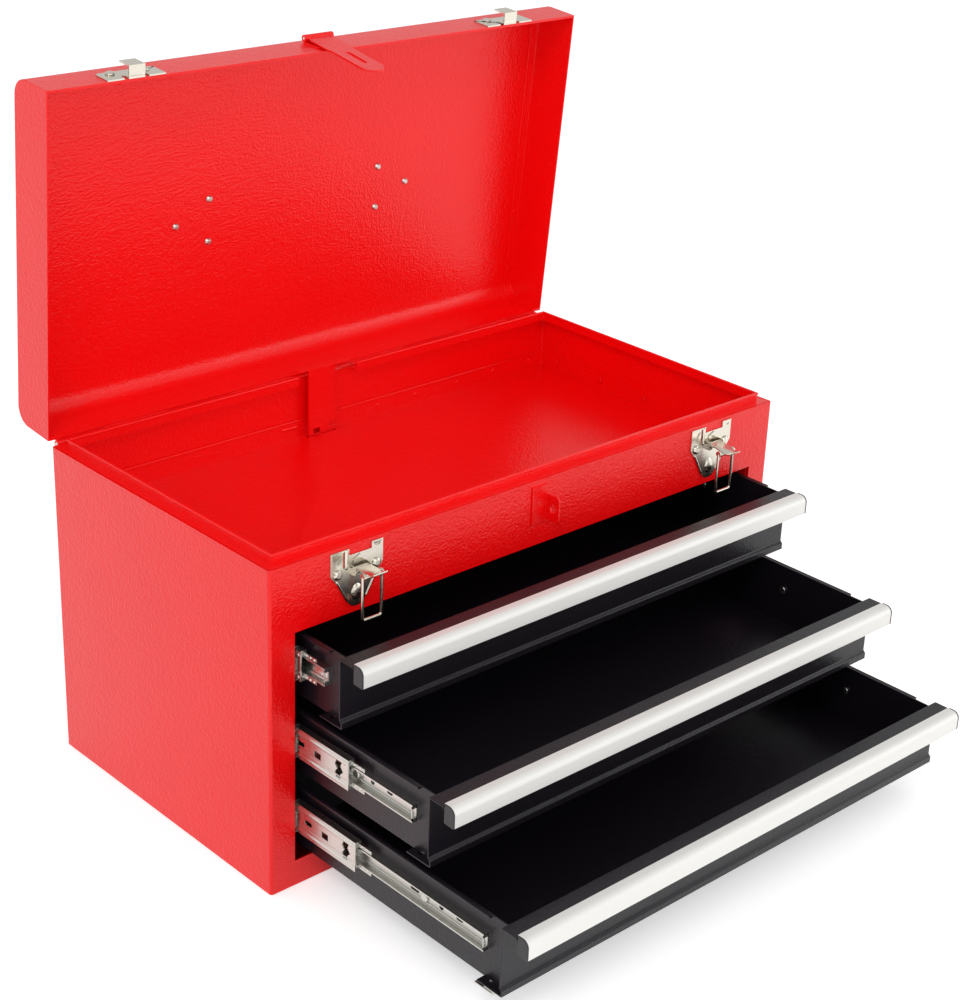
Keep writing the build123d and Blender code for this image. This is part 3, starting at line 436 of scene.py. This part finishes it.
# %% Draw latches
latch_sheet = 1.2
latch_x = 181.0
plate_y = front_y - latch_sheet
for side_name, centre in {"left": -latch_x, "right": latch_x}.items():
    plate = f"latch_plate_{side_name}"
    recess = (plate_y - 1, plate_y + 0.8)
    through = (plate_y - 1, front_y + 1)
    triangle = [(centre - 20.5, 251), (centre - 13, 251), (centre - 16.5, 244)]
    cuts[plate].append(prism(triangle, *recess, "Y"))
    cuts[plate].append(prism(rectangle(centre - 12.2, 240.5, centre - 11, 252.5), *through, "Y"))
    cuts[plate].append(prism(slot(centre + 18, 250.6, 5, 1.5), *recess, "Y"))
    gable_outline = [(-3.5, 242.5), (8.5, 242.5), (8.5, 245.5), (2.5, 248.3), (-3.5, 245.5)]
    gable = [(centre + x, z) for x, z in gable_outline]
    adds[plate].append(prism(gable, plate_y - 0.8, plate_y + 0.2, "Y"))
    adds[plate].append(bead((centre - 9.3, plate_y + 0.3, 240.5), (centre - 9.3, plate_y + 0.3, 252.4), 1.7))
    adds[plate].append(blob((centre, plate_y + 0.4, 219.5), (5.0, 1.5, 6.8)))
    for side in (-1, 1):
        top = (centre + side * 17.5, plate_y + 0.3, 231.5)
        foot = (centre + side * 8.6, plate_y + 0.3, 215.0)
        adds[plate].append(bead(top, foot, 1.0))
    keeper = f"keeper_{side_name}"
    for side in (-1, 1):
        low = sorted((centre + side * 6.9, centre + side * 10.4))
        cuts[keeper].append(prism(rectangle(low[0], 256.5, low[1], 262.6), *through, "Y"))
        corner = centre + side * 24.5
        notch = [(corner, 274.9), (corner - side * 2.5, 274.9), (corner, 272.4)]
        cuts[keeper].append(prism(notch, *through, "Y"))
    fold = (plate_y - 1.0, 258.0)
    adds[keeper].append(bead((centre - 6.2, *fold), (centre + 6.2, *fold), 0.9))
print("latch details:", sum(len(adds[name]) for name in nodes if "latch" in name or "keeper" in name))

# %% [markdown]
# **Rim, tray and lock bar.** The rim's upright lip is rolled over at its top, and a thin groove
# stays open between its ledge and the wall. The tray's rear flange ends in a soft line with an
# embossed mark under it, the lock bar has two dark slots, and a strip closes the gap at the hinge.

# %% Rim, tray and lock bar
lip_x = 246.0
lip_y = 125.4
lip_z = 262.1
roll = 1.15
adds["rim_frame"] += [
    bead((-lip_x, -lip_y, lip_z), (lip_x, -lip_y, lip_z), roll),
    bead((-lip_x, -lip_y, lip_z), (-lip_x, lip_y, lip_z), roll),
    bead((lip_x, -lip_y, lip_z), (lip_x, lip_y, lip_z), roll),
    bead((-lip_x, lip_y, lip_z), (-31, lip_y, lip_z), roll),
    bead((31, lip_y, lip_z), (lip_x, lip_y, lip_z), roll),
]
groove = (255.4, 257.0)
cuts["rim_frame"] += [
    prism(rectangle(-253.2, -133.6, 253.2, -132.7), *groove, "Z"),
    prism(rectangle(-254.2, -133.6, -253.3, 133.6), *groove, "Z"),
    prism(rectangle(253.3, -133.6, 254.2, 133.6), *groove, "Z"),
]
cuts["lock_bar"] += [
    prism(rectangle(-14, 208.6, -7, 213.4), 125, 128.5, "Y"),
    prism(rectangle(2.5, 212.4, 9, 215.6), 125, 128.5, "Y"),
]
adds["lock_bar"].append(bead((-17.6, 126.0, 44), (-17.6, 126.0, 262), 0.8))
adds["hinge_lid_leaf"].append(prism(rectangle(134.6, 257.0, 135.2, 259.0), -248.5, 248.5, "X"))
flange_y = 132.4
flange_z = 221.6
adds["tray"] += [
    bead((-40.0, flange_y, 216.6), (-27.5, flange_y, 216.6), 1.7),
    bead((-244, flange_y, flange_z), (-19, flange_y, flange_z), 0.8),
    bead((19, flange_y, flange_z), (244, flange_y, flange_z), 0.8),
]
print("rim details:", len(adds["rim_frame"]))

# %% [markdown]
# **Drawers.** The fold under each front has a drain hole at both ends.
# The top of each drawer's side wall is rolled over, which shows as a round bead along it.

# %% Drawers
wall_rise = 50.8
wall_roll_radius = 0.95
drain_radius = 2.4
for drawer, bottom in drawer_bottoms.items():
    face = drawer_faces[drawer]
    top = bottom + wall_rise
    for side in (-1, 1):
        drain = circle(side * 222.5, face + 14, drain_radius)
        cuts[f"drawer_front_{drawer}"].append(prism(drain, bottom - 1, bottom + 2, "Z"))
        edge = side * 224.6
        roll_bead = bead((edge, face + 17.2, top), (edge, face + 239.5, top), wall_roll_radius)
        adds[f"drawer_box_{drawer}"].append(roll_bead)
print("drain holes:", sum(len(cuts[f"drawer_front_{drawer}"]) for drawer in drawer_bottoms))

# %% [markdown]
# **Spot welds.** The tray and the lid's ends are welded on in rows of small round marks. A node
# tree sets them out on a line, moves each a little as a welder's hand would, and makes them real.

# %% Spot welds with Geometry Nodes


def weld_row_tree():
    tree = bpy.data.node_groups.new("row of spot welds", "GeometryNodeTree")
    sockets = tree.interface
    sockets.new_socket("Geometry", in_out="OUTPUT", socket_type="NodeSocketGeometry")
    inputs = {"Start": "Vector", "End": "Vector", "Count": "Int", "Size": "Vector", "Wander": "Vector"}
    for name, kind in inputs.items():
        sockets.new_socket(name, in_out="INPUT", socket_type=f"NodeSocket{kind}")
    sockets.new_socket("Material", in_out="INPUT", socket_type="NodeSocketMaterial")
    given = add(tree, "NodeGroupInput").outputs
    links = {"Count": given["Count"], "Start Location": given["Start"], "Offset": given["End"]}
    line = add(tree, "GeometryNodeMeshLine", links, mode="END_POINTS")
    back = add(tree, "ShaderNodeVectorMath", {0: given["Wander"]}, operation="SCALE", in_Scale=-1.0)
    links = {0: back.outputs[0], 1: given["Wander"]}
    drift = add(tree, "FunctionNodeRandomValue", links, data_type="FLOAT_VECTOR", in_Seed=7)
    links = {"Geometry": line.outputs[0], "Offset": drift.outputs[0]}
    moved = add(tree, "GeometryNodeSetPosition", links)
    mark = add(tree, "GeometryNodeMeshUVSphere", in_Segments=14, in_Rings=8, in_Radius=1.0)
    links = {"Points": moved.outputs[0], "Instance": mark.outputs[0], "Scale": given["Size"]}
    row = add(tree, "GeometryNodeInstanceOnPoints", links)
    real = add(tree, "GeometryNodeRealizeInstances", {"Geometry": row.outputs[0]})
    links = {"Geometry": real.outputs[0], "Material": given["Material"]}
    painted = add(tree, "GeometryNodeSetMaterial", links)
    add(tree, "NodeGroupOutput", {"Geometry": painted.outputs[0]})
    return tree


weld_tree = weld_row_tree()
socket_ids = {item.name: item.identifier for item in weld_tree.interface.items_tree if item.in_out == "INPUT"}


def weld_row(start, end, count, size, wander):
    """A row of weld marks as a plain mesh."""
    carrier = bpy.data.objects.new("weld_row", bpy.data.meshes.new("weld_row"))
    bpy.context.scene.collection.objects.link(carrier)
    modifier = carrier.modifiers.new("welds", "NODES")
    modifier.node_group = weld_tree
    modifier[socket_ids["Count"]] = count
    modifier[socket_ids["Material"]] = red_coat
    for name, value in {"Start": start, "End": end, "Size": size, "Wander": wander}.items():
        modifier[socket_ids[name]] = [v * MM for v in value]
    graph = bpy.context.evaluated_depsgraph_get()
    graph.update()
    mesh = bpy.data.meshes.new_from_object(carrier.evaluated_get(graph))
    bpy.data.objects.remove(carrier)
    return mesh


weld_rows = {
    "tray": [
        weld_row((-220, -132.4, 216), (220, -132.4, 216), 8, (2.6, 0.5, 2.6), (3, 0, 1)),
        weld_row((60, 132.4, 215), (235, 132.4, 215), 5, (2.4, 0.5, 2.4), (3, 0, 1)),
        weld_row((252.0, -105, 216), (252.0, 110, 216), 5, (0.5, 2.6, 2.6), (0, 3, 1)),
        weld_row((-252.0, -105, 216), (-252.0, 110, 216), 5, (0.5, 2.6, 2.6), (0, 3, 1)),
    ],
    "lid_end_left": [weld_row((-249.5, -105, 297.3), (-249.5, 105, 297.3), 5, (2.4, 2.4, 0.4), (0.6, 3, 0))],
    "lid_end_right": [weld_row((249.5, -105, 297.3), (249.5, 105, 297.3), 5, (2.4, 2.4, 0.4), (0.6, 3, 0))],
    "lid_shell": [weld_row((-215, -132.4, 260), (215, -132.4, 260), 7, (2.2, 0.4, 2.2), (3, 0, 0.4))],
}
print("weld rows:", sum(len(rows) for rows in weld_rows.values()))

# %% [markdown]
# Sheet metal never has a sharp edge: every fold has a small radius that catches the light.
# A copy of each solid is welded into one skin, cut and pressed as listed above, and bevelled.

# %% Dress every node
slot_of = {part["node"]: part["material_slot"] for part in frame["record"]["subparts"]}
edge_round = {
    "body_shell": (0.8, 3),
    "lid_shell": (0.5, 3),
    "lid_end": (0.6, 3),
    "drawer_pull": (0.4, 3),
    "handle_grip": (2.5, 4),
    "handle_brackets": (0.5, 3),
    "latch_plate": (0.35, 3),
    "latch_rivets": (1.3, 4),
    "keeper_rivets": (1.3, 4),
    "handle_rivets": (1.0, 4),
    "drawer_rivets": (1.2, 4),
    "drawer_front": (0.45, 3),
    "drawer_box": (0.45, 3),
    "lock_bar": (0.5, 3),
}
weld_distance = 0.002 * MM
bevel_angle = math.radians(32)
flat_angle = math.radians(1.0)
plain_edge = (0.25, 2)


def carved(mesh, cutter_mesh):
    """A mesh with another cut out of it."""
    target, cutter = (bpy.data.objects.new("carving", m) for m in (mesh, cutter_mesh))
    for item in (target, cutter):
        bpy.context.scene.collection.objects.link(item)
    modifier = target.modifiers.new("cut", "BOOLEAN")
    modifier.operation = "DIFFERENCE"
    modifier.solver = "EXACT"
    modifier.object = cutter
    graph = bpy.context.evaluated_depsgraph_get()
    graph.update()
    result = bpy.data.meshes.new_from_object(target.evaluated_get(graph))
    for item in (target, cutter):
        bpy.data.objects.remove(item)
    return result


def joined_up(mesh):
    """Weld a mesh and join its flat faces."""
    work = bmesh.new()
    work.from_mesh(mesh)
    bmesh.ops.remove_doubles(work, verts=work.verts, dist=weld_distance)
    bmesh.ops.dissolve_limit(work, angle_limit=flat_angle, verts=work.verts, edges=work.edges)
    work.to_mesh(mesh)
    work.free()


def dressed(name, round_mm, segments):
    """A welded copy of a node with its pressed details and rounded edges, standing for it."""
    body = nodes[name]["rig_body"]
    turn = open_turn if body in ("lid", "hasp", "handle") else Matrix.Identity(4)
    mesh = nodes[name].data.copy()
    joined_up(mesh)
    if cuts[name]:
        mesh = carved(mesh, mesh_of("cutter", cuts[name], turn))
        joined_up(mesh)
    extras = [mesh_of("extras", adds[name], turn)] if adds[name] else []
    for row in weld_rows.get(name, []):
        row.transform(turn)
        extras.append(row)
    work = bmesh.new()
    for part in (mesh, *extras):
        work.from_mesh(part)
    work.to_mesh(mesh)
    work.free()
    mesh.materials.clear()
    mesh.materials.append(finishes[slot_of[name]])
    piece = bpy.data.objects.new(name + "_skin", mesh)
    bpy.context.scene.collection.objects.link(piece)
    bevel = piece.modifiers.new("edges", "BEVEL")
    bevel.width = round_mm * MM
    bevel.segments = segments
    bevel.limit_method = "ANGLE"
    bevel.angle_limit = bevel_angle
    bevel.use_clamp_overlap = True
    for face in mesh.polygons:
        face.use_smooth = True
        face.material_index = 0
    mesh.set_sharp_from_angle(angle=bevel_angle)
    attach(piece, body)
    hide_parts(name)
    return piece


pieces = {}
for name in sorted(nodes):
    edge = next((size for key, size in edge_round.items() if name.startswith(key)), plain_edge)
    pieces[name] = dressed(name, *edge)
print("dressed pieces:", len(pieces))

# %% [markdown]
# **Light.** A pale sweep and four large soft boxes, as in a product studio. The high one on the left
# is the key and lights the tray too. Two low ones lay a sheen on the sides, and one fills the front.

# %% Floor, world and lights
floor_half = 6.0
floor_clearance = 0.0005
floor_lift = 0.45
floor_mesh = bpy.data.meshes.new("floor")
floor_outline = rectangle(-floor_half, -floor_half, floor_half, floor_half)
floor_mesh.from_pydata([(x, y, 0) for x, y in floor_outline], [], [(0, 1, 2, 3)])
floor = bpy.data.objects.new("floor", floor_mesh)
bpy.context.scene.collection.objects.link(floor)
floor.location.z = -floor_clearance
floor_material, tree, place = new_material("white paper sweep")
fibres = add(tree, "ShaderNodeTexNoise", {"Vector": place}, in_Scale=40.0)
pale = {"in_6": hex_colour("#F2F2F2"), "in_7": hex_colour("#F6F6F6")}
paper = add(tree, "ShaderNodeMix", {0: fibres.outputs["Fac"]}, data_type="RGBA", **pale)
matte = add(tree, "ShaderNodeBsdfDiffuse", {"Color": paper.outputs[2]})
seen = add(tree, "ShaderNodeLightPath")
links = {0: seen.outputs["Is Camera Ray"], 1: seen.outputs["Is Glossy Ray"]}
direct = add(tree, "ShaderNodeMath", links, operation="MAXIMUM")
lift_colour = (floor_lift, floor_lift, floor_lift, 1.0)
lift = add(tree, "ShaderNodeEmission", {"Strength": direct.outputs[0]}, in_Color=lift_colour)
lifted = add(tree, "ShaderNodeAddShader", {0: matte.outputs[0], 1: lift.outputs[0]})
finish_material(tree, lifted)
floor_mesh.materials.append(floor_material)

world = bpy.data.worlds.new("studio")
world.use_nodes = True
bpy.context.scene.world = world
tree = world.node_tree
tree.nodes.clear()
strengths = {"diffuse": 0.69, "glossy": 0.7, "camera": 1.0}
soft, glossy, white = (
    add(tree, "ShaderNodeBackground", in_Color=(1, 1, 1, 1), in_Strength=strength)
    for strength in strengths.values()
)
seen = add(tree, "ShaderNodeLightPath")
links = {0: seen.outputs["Is Glossy Ray"], 1: soft.outputs[0], 2: glossy.outputs[0]}
mirrored = add(tree, "ShaderNodeMixShader", links)
links = {0: seen.outputs["Is Camera Ray"], 1: mirrored.outputs[0], 2: white.outputs[0]}
mixed = add(tree, "ShaderNodeMixShader", links)
add(tree, "ShaderNodeOutputWorld", {"Surface": mixed.outputs[0]})


def soft_box(name, place, target, size, power):
    data = bpy.data.lights.new(name, "AREA")
    data.shape = "RECTANGLE"
    data.size, data.size_y = size
    data.energy = power
    lamp = bpy.data.objects.new(name, data)
    bpy.context.scene.collection.objects.link(lamp)
    lamp.location = place
    lamp.rotation_euler = (Vector(target) - Vector(place)).to_track_quat("-Z", "Y").to_euler()


soft_box("key_left", (-1.8, -1.2, 2.3), (0, 0, 0.25), (1.0, 1.0), 19)
soft_box("sheen_right", (2.4, -1.9, 0.9), (0.1, -0.1, 0.2), (1.6, 1.6), 12)
soft_box("sheen_left", (-2.2, 1.2, 0.9), (-0.25, 0.0, 0.15), (1.0, 1.2), 2)
soft_box("fill_front", (-0.6, -3.0, 1.3), (0, 0, 0.2), (1.8, 1.2), 12)

bpy.context.scene.view_settings.view_transform = "Standard"
